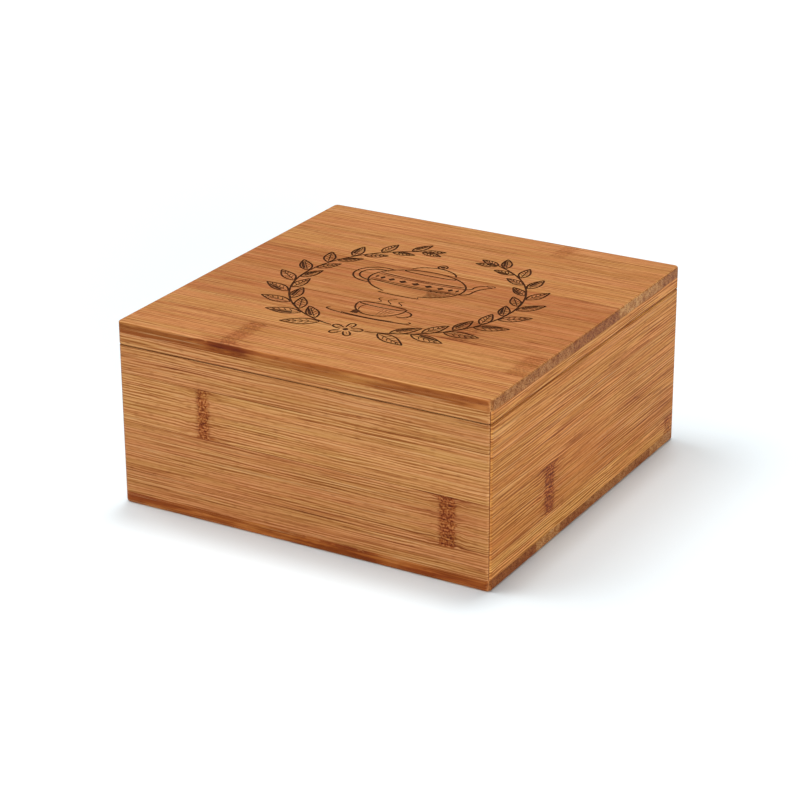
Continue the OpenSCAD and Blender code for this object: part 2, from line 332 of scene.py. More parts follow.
def bamboo(
    name, look, grain, strips, first_seam,
    edge=None, ends=None, golden=0.0, spacing=1.0, contrast=1.0, mitred=False, seed=0.0,
):
    """Carbonised bamboo, pressed flat from 20 mm strips, sanded and given a thin satin oil.

    Steaming turns the cane caramel brown. The eye sees long straight fibre lines, a slight change of tone
    from strip to strip, a darker flecked band wherever a strip had a knuckle, and a low soft sheen.
    edge is the colour of a board's long edges, and ends holds the shades of its sawn ends. golden is the
    share of yellower cane, spacing how far the fibre lines are spread and contrast how strongly they show.
    """
    material, tree = blank_material(name)
    coordinates = add(tree, "TexCoord").node.outputs
    turn = Matrix(grain).to_euler()
    turned = add(tree, "Mapping", {"Vector": coordinates["Object"], "Rotation": turn})
    facing = add(tree, "Mapping", {"Vector": coordinates["Normal"], "Rotation": turn})
    along, across, _ = add(tree, "SeparateXYZ", {0: turned}).node.outputs
    number, inside = strip_numbers(tree, across, first_seam, look.strip_width)
    share = add(tree, "Math", {0: number, 1: 0.5}, operation="ADD")
    share = add(tree, "Math", {0: share, 1: len(strips)}, operation="DIVIDE")
    tones = [between(look.dark_cane, look.pale_cane, shade) for shade, *_ in strips]
    tones = [between(tone, look.golden_cane, golden) for tone in tones]
    tone = add(tree, "ValToRGB", {0: share}, ramp=("CONSTANT", steps_of(tones)))
    if edge:
        long_edge = facing_along(tree, facing, 1)
        tone = board_edge(tree, tone, edge, long_edge, turned)

    # Each strip comes from another part of the cane, so its pattern is moved along and into the board.
    chance = add(tree, "Math", {0: number, 1: seed}, operation="ADD")
    aside = add(tree, "Math", {0: chance, 1: 40 * MM}, operation="MULTIPLY")
    chance = add(tree, "TexWhiteNoise", {"W": chance}, noise_dimensions="1D")
    moved = add(tree, "CombineXYZ", {"X": chance, "Z": aside})
    cane = add(tree, "VectorMath", {0: turned, 1: moved}, operation="ADD")

    core, halo = knuckle_reach(tree, strips, share, along, cane)
    # The fibres swerve by up to 1.3 mm each way where they pass a knuckle.
    swerve = streaks(tree, cane, 7 * MM, 3 * MM)
    swerve = add(tree, "Math", {0: swerve, 1: 2.6 * MM, 2: -1.3 * MM}, operation="MULTIPLY_ADD")
    swerve = add(tree, "Math", {0: swerve, 1: halo}, operation="MULTIPLY")
    swerve = add(tree, "CombineXYZ", {"Y": swerve})
    cane = add(tree, "VectorMath", {0: cane, 1: swerve}, operation="ADD")

    # The fibres of real bamboo are 0.2 to 0.5 mm apart, and are drawn 1 mm or more apart so that they show.
    fine = fibre_lines(tree, cane, spacing * look.fibre_pitch)
    coarse = fibre_lines(tree, cane, 1.4 * spacing * look.fibre_pitch)
    lines = add(tree, "Mix", {"Factor": 0.4, "A": fine, "B": coarse})
    bundles = streaks(tree, cane, 26 * MM, look.bundle_pitch, 0.0)
    mixed = add(tree, "Mix", {"Factor": 0.5, "A": bundles, "B": lines})
    # The tints are spread over this much of the pattern on either side of its middle value, 0.5.
    reach = 0.17 / contrast
    dense = add(tree, "MapRange", {"Value": mixed, "From Min": 0.5 - reach, "From Max": 0.5 + reach})
    # Some stretches are calmer than others.
    lively = streaks(tree, cane, 45 * MM, 5 * MM)
    lively = add(
        tree, "MapRange", {"Value": lively, "From Min": 0.38, "From Max": 0.6, "To Min": 0.45, "To Max": 1.0}
    )
    dense = add(tree, "Mix", {"Factor": lively, "A": 0.5, "B": dense})
    tint = add(
        tree, "ValToRGB", {0: dense},
        ramp=("LINEAR", [(0.0, look.dark_fibre), (0.5, look.mid_fibre), (1.0, look.pale_fibre)]),
    )
    colour = add(tree, "Mix", {"Factor": 1.0, "A": tone, "B": tint}, **MULTIPLY)
    # A contrast above 1 also lays a share of the tint on a second time.
    colour = add(tree, "Mix", {"Factor": contrast - 1.0, "A": colour, "B": tint}, **MULTIPLY)
    broad = streaks(tree, cane, 60 * MM, 4 * MM, 1.0)
    broad = add(
        tree, "ValToRGB", {0: broad}, ramp=("LINEAR", [(0.38, look.rosy_patch), (0.62, look.golden_patch)])
    )
    colour = add(tree, "Mix", {"Factor": 1.0, "A": colour, "B": broad}, **MULTIPLY)
    # Short dark dashes, where planing cut a bundle open.
    dashes = streaks(tree, cane, 3.5 * MM, 0.5 * MM, 0.0)
    dashes = add(tree, "MapRange", {"Value": dashes, "From Min": 0.56, "From Max": 0.76, "To Max": 0.4})
    colour = add(tree, "Mix", {"Factor": dashes, "A": colour, "B": look.dark_fibre}, **MULTIPLY)

    # Thin dark and light lines: where a slow pattern across the strip crosses one value.
    swell = streaks(tree, cane, 200 * MM, look.line_pitch, 2.0, 0.65)
    fade = streaks(tree, cane, 60 * MM, 2.5 * MM)
    fade = add(tree, "MapRange", {"Value": fade, "From Min": 0.44, "From Max": 0.62})
    dark_line = band(tree, swell, 0.47, 0.003, 0.02)
    dark_line = add(tree, "Math", {0: dark_line, 1: fade}, operation="MULTIPLY")
    colour = add(tree, "Mix", {"Factor": dark_line, "A": colour, "B": look.grain_line}, **MULTIPLY)
    light_line = band(tree, swell, 0.56, 0.003, 0.018)
    light_line = add(tree, "Math", {0: light_line, 1: 0.3}, operation="MULTIPLY")
    colour = add(tree, "Mix", {"Factor": light_line, "A": colour, "B": look.glow_line}, **BLEND)

    # Beside a knuckle the cane is a little browner, and dark streaks leave it along the strip's two edges.
    stain = add(tree, "Math", {0: halo, 1: 0.2}, operation="MULTIPLY")
    colour = add(tree, "Mix", {"Factor": stain, "A": colour, "B": look.knuckle}, **MULTIPLY)
    side = add(tree, "Math", {0: inside, 1: 0.5}, operation="SUBTRACT")
    side = add(tree, "Math", {0: side}, operation="ABSOLUTE")
    side = add(tree, "MapRange", {"Value": side, "From Min": 0.38, "From Max": 0.46})
    trails = streaks(tree, cane, 9 * MM, 0.8 * MM, 0.0)
    trails = add(tree, "MapRange", {"Value": trails, "From Min": 0.46, "From Max": 0.56})
    trails = add(tree, "Math", {0: trails, 1: side}, operation="MULTIPLY")
    trails = add(tree, "Math", {0: trails, 1: halo}, operation="MULTIPLY")
    if edge:
        # A long edge shows its knuckles as one dark stain, without flecks.
        flat_side = add(tree, "Math", {0: 1.0, 1: long_edge}, operation="SUBTRACT")
        core = add(tree, "Math", {0: core, 1: flat_side}, operation="MULTIPLY")
    beside = add(tree, "Math", {0: 1.0, 1: core}, operation="SUBTRACT")
    trails = add(tree, "Math", {0: trails, 1: beside}, operation="MULTIPLY")
    colour = add(tree, "Mix", {"Factor": trails, "A": colour, "B": look.trail}, **MULTIPLY)
    # The knuckle itself: dark dots where its fibres end, and pale specks between them.
    flecks = add(tree, "Mapping", {"Vector": cane, "Scale": (1 / look.fleck_size,) * 3})
    flecks = add(tree, "TexNoise", {"Vector": flecks, "Scale": 1.0, "Detail": 0.0}, noise_dimensions="3D")
    speckle = add(
        tree, "ValToRGB", {0: flecks},
        ramp=(
            "LINEAR",
            [(0.34, linear("#f4e6d4")), (0.42, look.knuckle), (0.53, look.knuckle), (0.66, look.fleck)],
        ),
    )
    colour = add(tree, "Mix", {"Factor": core, "A": colour, "B": speckle}, **MULTIPLY)
    pits = add(tree, "MapRange", {"Value": flecks, "From Min": 0.49, "From Max": 0.56})
    pits = add(tree, "Math", {0: pits, 1: core}, operation="MULTIPLY")
    if edge:
        # A long edge cuts through the hard wall inside the knuckle, which is the darkest cane of all.
        cut = add(tree, "Math", {0: halo, 1: 1.7}, operation="MULTIPLY", use_clamp=True)
        cut = add(tree, "Math", {0: cut, 1: long_edge}, operation="MULTIPLY")
        colour = add(tree, "Mix", {"Factor": cut, "A": colour, "B": look.cut_knuckle}, **MULTIPLY)

    # The glue line lies just under a strip's upper edge, and fades in over this share of the strip's width.
    fade_in = 0.006
    seam_start = 1 - look.glue_line / look.strip_width
    seam = add(tree, "MapRange", {"Value": inside, "From Min": seam_start - fade_in, "From Max": seam_start})
    colour = add(tree, "Mix", {"Factor": seam, "A": colour, "B": look.glue}, **MULTIPLY)
    if ends:
        colour = sawn_end(tree, look, colour, ends, share, facing, turned)
    # Rounded edges turn paler: partly sanding wear, partly a painted highlight.
    colour = sanded_and_highlit_edges(tree, look, colour, coordinates["Normal"])
    if mitred:
        colour = mitre_lines(tree, look, colour, coordinates["Object"])

    sheen = add(tree, "MapRange", {"Value": dense, "To Min": 0.6, "To Max": 0.48})
    height = add(tree, "Math", {0: dark_line, 1: -0.8, 2: mixed}, operation="MULTIPLY_ADD")
    height = add(tree, "Math", {0: pits, 1: -0.8, 2: height}, operation="MULTIPLY_ADD")
    relief = add(tree, "Bump", {"Height": height, "Strength": 0.4, "Distance": 0.05 * MM})
    shader = add(
        tree, "BsdfPrincipled",
        {"Base Color": colour, "Roughness": sheen, "Normal": relief, "Specular IOR Level": 0.12, "IOR": 1.5},
    )
    add(tree, "OutputMaterial", {"Surface": shader})
    return material


def knuckle_reach(tree, strips, share, along, cane):
    """From 0 to 1, how far a point is in its strip's knuckle and in the halo beside it."""
    halo_width = 12 * MM
    ragged_width = 4 * MM
    # A ramp holds no number below 0, so the knuckles' places are moved by reach, in metres, and back.
    reach = 0.5
    facts = [(place * MM + reach, half * MM, strength, 1.0) for _, place, half, strength in strips]
    fact = add(tree, "ValToRGB", {0: share}, ramp=("CONSTANT", steps_of(facts)))
    place, half, strength = add(tree, "SeparateColor", {0: fact}).node.outputs
    ragged = streaks(tree, cane, 6 * MM, 0.9 * MM, 2.0, 0.6)
    back = -0.5 * ragged_width - reach
    ragged = add(tree, "Math", {0: ragged, 1: ragged_width, 2: back}, operation="MULTIPLY_ADD")
    middle = add(tree, "Math", {0: place, 1: ragged}, operation="ADD")
    away = add(tree, "Math", {0: along, 1: middle}, operation="SUBTRACT")
    away = add(tree, "Math", {0: away}, operation="ABSOLUTE")
    past = add(tree, "Math", {0: away, 1: half}, operation="SUBTRACT")
    core = add(
        tree, "MapRange",
        {"Value": past, "From Min": -1.2 * MM, "From Max": 1.0 * MM, "To Min": 1.0, "To Max": 0.0},
        interpolation_type="SMOOTHSTEP",
    )
    core = add(tree, "Math", {0: core, 1: strength}, operation="MULTIPLY")
    halo = add(
        tree, "MapRange",
        {"Value": past, "From Min": 0.0, "From Max": halo_width, "To Min": 1.0, "To Max": 0.0},
        interpolation_type="SMOOTHSTEP",
    )
    halo = add(tree, "Math", {0: halo, 1: strength}, operation="MULTIPLY")
    return core, halo


def facing_along(tree, facing, axis):
    """1 where the surface faces along one of the grain's axes more than along the other two."""
    sides = add(tree, "VectorMath", {0: facing}, operation="ABSOLUTE")
    sides = list(add(tree, "SeparateXYZ", {0: sides}).node.outputs)
    own = sides.pop(axis)
    others = add(tree, "Math", {0: sides[0], 1: sides[1]}, operation="MAXIMUM")
    lead = add(tree, "Math", {0: own, 1: others}, operation="SUBTRACT")
    return add(tree, "MapRange", {"Value": lead, "From Min": -0.06, "From Max": 0.06})


def board_edge(tree, tone, edge, long_edge, turned):
    """The tone of a board, with the darker, patchy outer cane that its two long edges show."""
    patches = streaks(tree, turned, 30 * MM, 4 * MM)
    patches = add(
        tree, "ValToRGB", {0: patches},
        ramp=("LINEAR", [(0.34, linear("#e0c6aa")), (0.48, linear("#f0e4d4")), (0.64, linear("#ffffff"))]),
    )
    edge = add(tree, "Mix", {"Factor": 1.0, "A": edge, "B": patches}, **MULTIPLY)
    return add(tree, "Mix", {"Factor": long_edge, "A": tone, "B": edge}, **BLEND)


def sawn_end(tree, look, colour, ends, share, facing, turned):
    """A board's sawn ends: each strip has its own tone, with rows of dark vessels in paler tissue."""
    sawn = facing_along(tree, facing, 0)
    tones = [between(look.dark_end, look.pale_end, shade) for shade in ends]
    end = add(tree, "ValToRGB", {0: share}, ramp=("CONSTANT", steps_of(tones)))
    # Real vessels are 0.2 mm wide, and are drawn about 1 mm apart so that they show.
    cell = (4 * MM, 1.3 * MM, 1.0 * MM)
    cells = add(tree, "Mapping", {"Vector": turned, "Scale": tuple(1 / side for side in cell)})
    vessels = add(tree, "TexVoronoi", {"Vector": cells, "Scale": 1.0, "Randomness": 1.0}, feature="F1")
    shades = add(
        tree, "ValToRGB", {0: vessels},
        ramp=("LINEAR", [(0.18, look.vessel), (0.45, linear("#ffffff")), (0.8, linear("#cdb08c"))]),
    )
    end = add(tree, "Mix", {"Factor": 1.0, "A": end, "B": shades}, **MULTIPLY)
    blur = streaks(tree, turned, 20 * MM, 3 * MM)
    blur = add(
        tree, "ValToRGB", {0: blur}, ramp=("LINEAR", [(0.35, linear("#dac3a8")), (0.6, linear("#ffffff"))])
    )
    end = add(tree, "Mix", {"Factor": 1.0, "A": end, "B": blur}, **MULTIPLY)
    return add(tree, "Mix", {"Factor": sawn, "A": colour, "B": end}, **BLEND)


def mitre_lines(tree, look, colour, place):
    """The glue line down each mitred corner, where a point is as far from one wall as from the next."""
    x, y, _ = add(tree, "SeparateXYZ", {0: place}).node.outputs
    x = add(tree, "Math", {0: x}, operation="ABSOLUTE")
    y = add(tree, "Math", {0: y}, operation="ABSOLUTE")
    line = band(tree, x, y, 0.3 * look.mitre_line, look.mitre_line)
    return add(tree, "Mix", {"Factor": line, "A": colour, "B": look.mitre}, **MULTIPLY)


def sanded_and_highlit_edges(tree, look, colour, normal):
    """Rounded edges, paler where sanding has taken the oil and the dark outer fibres away, and from a
    painted highlight.
    """
    sides = add(tree, "VectorMath", {0: normal}, operation="ABSOLUTE")
    x, y, z = add(tree, "SeparateXYZ", {0: sides}).node.outputs
    steepest = add(tree, "Math", {0: x, 1: y}, operation="MAXIMUM")
    steepest = add(tree, "Math", {0: steepest, 1: z}, operation="MAXIMUM")
    # Up to 0.15 of the paler colour where the surface turns between two faces: sanding wear and painted
    # highlight.
    wear_and_highlight = add(
        tree, "MapRange",
        {"Value": steepest, "From Min": 0.75, "From Max": 0.97, "To Min": 0.15, "To Max": 0.0},
    )
    return add(tree, "Mix", {"Factor": wear_and_highlight, "A": colour, "B": look.wear_and_highlight}, **BLEND)


def burnt_bamboo(name, look):
    """Bamboo burnt away by a laser: a matt, nearly black groove that browns where the beam was weaker."""
    material, tree = blank_material(name)
    place = add(tree, "TexCoord").node.outputs["Object"]
    char = streaks(tree, place, 6 * MM, 0.9 * MM, 3.0, 0.6)
    colour = add(
        tree, "ValToRGB", {0: char}, ramp=("LINEAR", [(0.38, look.burnt), (0.66, look.scorched)])
    )
    grit = streaks(tree, place, 0.3 * MM, 0.15 * MM)
    relief = add(tree, "Bump", {"Height": grit, "Strength": 0.6, "Distance": 0.04 * MM})
    rough = add(tree, "MapRange", {"Value": char, "To Min": 0.95, "To Max": 0.8})
    shader = add(
        tree, "BsdfPrincipled",
        {"Base Color": colour, "Roughness": rough, "Normal": relief, "Specular IOR Level": 0.1},
    )
    add(tree, "OutputMaterial", {"Surface": shader})
    return material


# ---------------------------------------------------------------- hinges


def rolled_metal(name, colour, stain, brushed, roughness):
    """Thin rolled or drawn metal: fine lines along brushed, a soft bright gleam and a few duller patches."""
    material, tree = blank_material(name)
    place = add(tree, "TexCoord").node.outputs["Object"]
    # Brushing lines are about 0.02 mm apart on the real metal, drawn 0.12 mm apart so that they show.
    line_length, line_pitch = 4 * MM, 0.12 * MM
    scale = tuple(1 / line_length if axis == brushed else 1 / line_pitch for axis in "xyz")
    lines = add(tree, "Mapping", {"Vector": place, "Scale": scale})
    lines = add(tree, "TexNoise", {"Vector": lines, "Scale": 1.0, "Detail": 2.0})
    patches = streaks(tree, place, 5 * MM, 3 * MM, 3.0, 0.6)
    patches = add(tree, "MapRange", {"Value": patches, "From Min": 0.45, "From Max": 0.75})
    colour = add(tree, "Mix", {"Factor": patches, "A": colour, "B": stain}, **BLEND)
    rough = add(
        tree, "MapRange", {"Value": lines, "From Min": 0.3, "From Max": 0.7,
                           "To Min": roughness - 0.07, "To Max": roughness + 0.1}
    )
    relief = add(tree, "Bump", {"Height": lines, "Strength": 0.25, "Distance": 0.02 * MM})
    shader = add(
        tree, "BsdfPrincipled", {"Base Color": colour, "Metallic": 1.0, "Roughness": rough, "Normal": relief}
    )
    add(tree, "OutputMaterial", {"Surface": shader})
    return material


def give(material, *nodes):
    """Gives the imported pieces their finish."""
    for name in nodes:
        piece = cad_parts[name]
        piece.data.materials.clear()
        piece.data.materials.append(material)


# ---------------------------------------------------------------- engraving


def turned_to(points, root, angle):
    """Points moved from the origin to root and turned by angle."""
    return [
        (root[0] + x * cos(angle) - y * sin(angle), root[1] + x * sin(angle) + y * cos(angle))
        for x, y in points
    ]


def sampled(curve, count):
    """A curve's points for count even steps of its parameter from 0 to 1."""
    return [curve(step / (count - 1)) for step in range(count)]


def arc(middle, radii, start, end, count):
    """Points of an arc of an ellipse, between two angles in degrees."""
    return sampled(
        lambda t: (
            middle[0] + radii[0] * cos(radians(start + (end - start) * t)),
            middle[1] + radii[1] * sin(radians(start + (end - start) * t)),
        ),
        count,
    )


# An engraved line is cut in two at each corner that turns by more than this.
SHARP_CORNER = radians(45)


def smooth_stretches(points, closed):
    """A line's stretches from one sharp corner to the next, each with whether it is a closed loop."""
    count = len(points)
    corners = []
    for number in range(count) if closed else range(1, count - 1):
        before, here, after = (Vector(points[(number + step) % count]) for step in (-1, 0, 1))
        if (here - before).angle(after - here) > SHARP_CORNER:
            corners.append(number)
    if not corners:
        return [(points, closed)]
    if closed:
        first = corners.pop(0)
        points = points[first:] + points[: first + 1]
        corners = [corner - first for corner in corners]
    ends = [0, *corners, len(points) - 1]
    return [(points[start : end + 1], False) for start, end in zip(ends, ends[1:])]


class Drawing:
    """The engraved lines and filled shapes, in metres on the lid's top face."""

    def __init__(self, sizes):
        self.sizes = sizes
        self.strokes = []
        self.fills = []

    def line(self, points, fine=False, closed=False):
        """Adds a line through points, cut at its sharp corners, where one bar could cross itself."""
        width = self.sizes.fine_line if fine else self.sizes.bold_line
        for stretch, loop in smooth_stretches(points, closed):
            self.strokes.append((stretch, width, loop))

    def fill(self, points):
        """Adds a filled shape."""
        self.fills.append((points, 0.0, True))


def leaf(drawing, root, angle, length, width, filled):
    """A pointed tea leaf with its midrib and side veins; a filled one is dark on one side of the midrib."""

    def half(t):
        return 0.5 * width * sin(pi * t**0.85) * (1 - 0.18 * t)

    rim = 14
    upper = [(length * i / rim, half(i / rim)) for i in range(rim + 1)]
    lower = [(x, -y) for x, y in reversed(upper[1:-1])]
    drawing.line(turned_to(upper + lower, root, angle), closed=True)
    if filled:
        inset = [(length * t, 0.74 * half(t)) for t in (0.22, 0.34, 0.46, 0.58, 0.7, 0.8)]
        spine = [(length * t, 0.09 * width) for t in (0.8, 0.5, 0.22)]
        drawing.fill(turned_to(inset + spine, root, angle))
    midrib = [(length * t, 0.0) for t in (0.06, 0.25, 0.45, 0.65, 0.86)]
    drawing.line(turned_to(midrib, root, angle), fine=True)
    vein_reach = 0.13
    for t in (0.24, 0.4, 0.56, 0.7):
        rise = 0.72 * half(t + vein_reach)
        for side in (-1, 1):
            if filled and side > 0:
                continue
            vein = [(length * (t + vein_reach * s), side * rise * s) for s in (0.12, 0.5, 1.0)]
            drawing.line(turned_to(vein, root, angle), fine=True)


def wreath(drawing, middle):
    """Two leafy stems that rise from the bottom and nearly meet at the top."""
    sizes = drawing.sizes
    stations = 10
    for side in (-1, 1):
        first, last = radians(-90 + side * 9), radians(-90 + side * 158)
        stem = sampled(
            lambda t: (
                middle[0] + sizes.wreath_radius * cos(first + (last - first) * t),
                middle[1] + sizes.wreath_radius * sin(first + (last - first) * t),
            ),
            44,
        )
        drawing.line(stem)
        for station in range(stations):
            t = (station + 0.45) / (stations - 0.2)
            turn = first + (last - first) * t
            heading = turn + side * pi / 2
            shrink = 1 - 0.32 * t
            for out, lead in ((1, 0.0), (-1, 0.035)):
                at = turn + (last - first) * lead
                root_radius = sizes.wreath_radius + out * 0.6 * MM
                root = (middle[0] + root_radius * cos(at), middle[1] + root_radius * sin(at))
                angle = heading - side * out * radians(40 if out > 0 else 34)
                scale = shrink * (1.0 if out > 0 else 0.86)
                filled = (station + (out > 0)) % 2 == 0
                leaf(drawing, root, angle, sizes.leaf_length * scale, sizes.leaf_width * scale, filled)
        tip = stem[-1]
        leaf(drawing, tip, last + side * pi / 2, 0.62 * sizes.leaf_length, 0.62 * sizes.leaf_width, False)


def blossom(drawing, middle, petals, radius):
    """A small open tea flower."""
    for number in range(petals):
        angle = 2 * pi * number / petals + pi / 2
        petal = sampled(
            lambda t: (
                radius * (0.3 + 0.7 * sin(pi * t) ** 0.7),
                radius * 0.62 * (t - 0.5) * (0.5 + sin(pi * t)),
            ),
            11,
        )
        drawing.line(turned_to(petal, middle, angle))
        drawing.line(turned_to([(radius * 0.42, 0.0), (radius * 0.72, 0.0)], middle, angle), fine=True)
    drawing.fill(arc(middle, (0.17 * radius, 0.17 * radius), 0, 330, 12))


def teapot(drawing, middle, width, height):
    """A round-bellied teapot with a domed lid, seen from its side."""
    x0, y0 = middle
    belly = (width / 2, height / 2)
    drawing.line(arc(middle, belly, -68, 248, 46))
    foot = y0 - 0.93 * belly[1]
    ground = foot - 1.6 * MM
    for side in (-1, 1):
        drawing.line([(x0 + side * 0.38 * belly[0], foot), (x0 + side * 0.42 * belly[0], ground)], fine=True)
    drawing.line(arc((x0, ground), (0.44 * belly[0], 0.7 * MM), 180, 360, 12))
    # lid and knob
    drawing.line(arc((x0, y0 + 0.8 * belly[1]), (0.56 * belly[0], 1.3 * MM), 180, 360, 16))
    drawing.line(arc((x0, y0 + 0.86 * belly[1]), (0.5 * belly[0], 0.5 * belly[1]), 12, 168, 22))
    knob = (x0, y0 + 1.36 * belly[1] + 2.2 * MM)
    drawing.line(arc(knob, (1.9 * MM, 1.9 * MM), 0, 350, 16), closed=True)
    drawing.fill(arc(knob, (1.05 * MM, 1.05 * MM), 0, 330, 12))
    # spout
    spout_root = x0 + 0.93 * belly[0]
    drawing.line(
        sampled(
            lambda t: (spout_root + 9.5 * MM * t + 1.4 * MM * sin(2 * pi * t),
                       y0 - 3.2 * MM + 13.5 * MM * t**1.6),
            14,
        )
    )
    drawing.line(
        sampled(
            lambda t: (spout_root - 0.6 * MM + 7.0 * MM * t + 1.2 * MM * sin(2 * pi * t),
                       y0 + 3.2 * MM + 7.6 * MM * t**1.5),
            12,
        )
    )
    mouth = (spout_root + 8.1 * MM, y0 + 10.7 * MM)
    drawing.line(arc(mouth, (1.9 * MM, 0.8 * MM), 0, 340, 12), fine=True, closed=True)
    # handle
    handle = (x0 - 0.92 * belly[0], y0 + 1.2 * MM)
    drawing.line(arc(handle, (9.6 * MM, 8.6 * MM), 68, 284, 26))
    drawing.line(arc(handle, (7.0 * MM, 6.2 * MM), 72, 280, 22))
    # belly bands, with a row of diamonds between them
    sag = 1.5 * MM
    for level, fine in ((0.34, False), (0.24, True), (-0.16, True), (-0.26, False)):
        reach = 0.96 * belly[0] * (1 - level**2) ** 0.5
        height_of_band = y0 + level * belly[1]
        stripe = sampled(lambda t: (x0 + reach * (2 * t - 1), height_of_band - sag * sin(pi * t)), 22)
        drawing.line(stripe, fine=fine)
    for number in range(-4, 5):
        around = radians(17.5 * number)
        x = x0 + 0.93 * belly[0] * sin(around)
        y = y0 + 0.04 * belly[1] - sag * cos(around)
        wide, tall = 1.9 * MM * cos(around), 1.6 * MM
        drawing.fill([(x + wide, y), (x, y + tall), (x - wide, y), (x, y - tall)])
    # hatching on the shaded side
    for number in range(6):
        scale = 0.93 - 0.085 * number
        radii = (scale * belly[0], scale * belly[1])
        drawing.line(arc(middle, radii, -62 + 3 * number, -22 - 2 * number, 10), fine=True)


def cup(drawing, middle, width):
    """A cup on its saucer, with a paper tag on a thread."""
    x0, y0 = middle
    half = width / 2
    drawing.line(arc((x0, y0 + 5 * MM), (half, 1.7 * MM), 0, 345, 26), closed=True)
    drawing.line(
        sampled(
            lambda t: (x0 - half * cos(pi * t) * (1 - 0.1 * sin(pi * t)),
                       y0 + 4.8 * MM - 10.6 * MM * sin(pi * t) ** 0.8),
            26,
        )
    )
    drawing.line(arc((x0 + half + 0.6 * MM, y0 + 0.6 * MM), (3.4 * MM, 3.1 * MM), -112, 96, 16))
    drawing.line(arc((x0, y0 - 6.4 * MM), (1.75 * half, 2.6 * MM), 158, 382, 30))
    drawing.line(arc((x0, y0 - 7.2 * MM), (1.1 * half, 1.2 * MM), 190, 350, 16), fine=True)
    for number in range(4):
        start = (x0 + (0.2 + 0.16 * number) * half, y0 + 1.9 * MM)
        drawing.line([start, (start[0] - 0.05 * half * number, y0 - (4.1 - 0.8 * number) * MM)], fine=True)
    thread = sampled(lambda t: (x0 - 0.62 * half - 0.9 * MM * sin(pi * t), y0 + 3.5 * MM - 6.0 * MM * t), 8)
    drawing.line(thread, fine=True)
    tag_x, tag_y = thread[-1][0], thread[-1][1] - 2.2 * MM
    tag = ((1.5, -1.9), (1.5, 1.1), (0, 1.9), (-1.5, 1.1), (-1.5, -1.9))
    drawing.fill([(tag_x + dx * MM, tag_y + dy * MM) for dx, dy in tag])


def steam(drawing, middle, height):
    """Three wisps of steam."""
    for offset, start, scale in ((-4.6, 0.0, 0.8), (0.0, 1.4, 1.0), (4.6, 0.4, 0.75)):
        drawing.line(
            sampled(
                lambda t: (
                    middle[0] + offset * MM + 1.5 * MM * sin(2 * pi * t + start) * (1 - 0.35 * t),
                    middle[1] + scale * height * t,
                ),
                14,
            ),
            fine=True,
        )


def tea_drawing(sizes):
    """The whole engraved picture: a wreath of tea leaves around a teapot and a cup."""
    drawing = Drawing(sizes)
    wreath(drawing, (0.0, 1.5 * MM))
    blossom(drawing, (0.0, -45.5 * MM), 5, 6.6 * MM)
    teapot(drawing, (-1.0 * MM, 10.5 * MM), 41 * MM, 28 * MM)
    cup(drawing, (0.0, -22.5 * MM), 21 * MM)
    steam(drawing, (0.0, -14.6 * MM), 6.5 * MM)
    return drawing


def keep_clear(shape, other):
    """Whether two shapes stay apart, so that one cutter can hold both."""
    points, width, _ = shape
    others, other_width, _ = other
    spare = 1.1 * MM
    gap = 0.5 * (width + other_width) + spare
    for axis in (0, 1):
        if min(p[axis] for p in points) > max(p[axis] for p in others) + gap:
            return True
        if max(p[axis] for p in points) < min(p[axis] for p in others) - gap:
            return True
    return all(hypot(p[0] - q[0], p[1] - q[1]) > gap for p in points for q in others)


def in_layers(shapes):
    """The shapes sorted into layers whose own shapes stay clear of each other."""
    layers = []
    for shape in shapes:
        for layer in layers:
            if all(keep_clear(shape, other) for other in layer):
                layer.append(shape)
                break
        else:
            layers.append([shape])
    return layers


def stroke_cutter(layer, top):
    """Round bars along a layer's lines, half sunk in the lid's top face and thinner at their open ends."""
    tip_share = 0.55
    curve = bpy.data.curves.new("strokes", "CURVE")
    curve.dimensions = "3D"
    curve.bevel_depth = 1.0
    curve.bevel_resolution = 1
    curve.use_fill_caps = True
    for points, width, closed in layer:
        spline = curve.splines.new("POLY")
        spline.points.add(len(points) - 1)
        spline.use_cyclic_u = closed
        for number, (point, (x, y)) in enumerate(zip(spline.points, points)):
            at_end = not closed and number in (0, len(points) - 1)
            point.co = (x, y, top, 1.0)
            point.radius = 0.5 * width * (tip_share if at_end else 1.0)
    bars = bpy.data.objects.new("strokes", curve)
    mesh = bpy.data.meshes.new_from_object(bars)
    bpy.data.objects.remove(bars)
    bpy.data.curves.remove(curve)
    return mesh


def fill_cutter(layer, top, depth):
    """Flat-bottomed plugs in a layer's filled shapes."""
    mesh = bpy.data.meshes.new("fills")
    bm = bmesh.new()
    for points, _, _ in layer:
        corners = [bm.verts.new((x, y, top - depth)) for x, y in points]
        floor = bm.faces.new(corners)
        raised = bmesh.ops.extrude_face_region(bm, geom=[floor])["geom"]
        walls = [item for item in raised if isinstance(item, bmesh.types.BMVert)]
        bmesh.ops.translate(bm, verts=walls, vec=(0, 0, 2 * depth))
    bm.to_mesh(mesh)
    bm.free()
    return mesh


def cleaned(mesh):
    """Merges a mesh's doubled points and turns its faces outwards."""
    doubled_within = 0.0005 * MM
    bm = bmesh.new()
    bm.from_mesh(mesh)
    bmesh.ops.remove_doubles(bm, verts=bm.verts, dist=doubled_within)
    bmesh.ops.recalc_face_normals(bm, faces=bm.faces)
    bm.to_mesh(mesh)
    bm.free()
    return mesh


def cut_away(piece, mesh):
    """Cuts a mesh's volume out of piece."""
    cutter = bpy.data.objects.new("cutter", cleaned(mesh))
    bpy.context.scene.collection.objects.link(cutter)
    cut = piece.modifiers.new("engraving", "BOOLEAN")
    cut.operation = "DIFFERENCE"
    cut.solver = "MANIFOLD"
    cut.object = cutter
    graph = bpy.context.evaluated_depsgraph_get()
    result = bpy.data.meshes.new_from_object(piece.evaluated_get(graph))
    if len(result.polygons) <= len(piece.data.polygons):
        raise RuntimeError("the engraving wasn't cut")
    piece.modifiers.clear()
    piece.data = result
    bpy.data.objects.remove(cutter)
    bpy.data.meshes.remove(mesh)


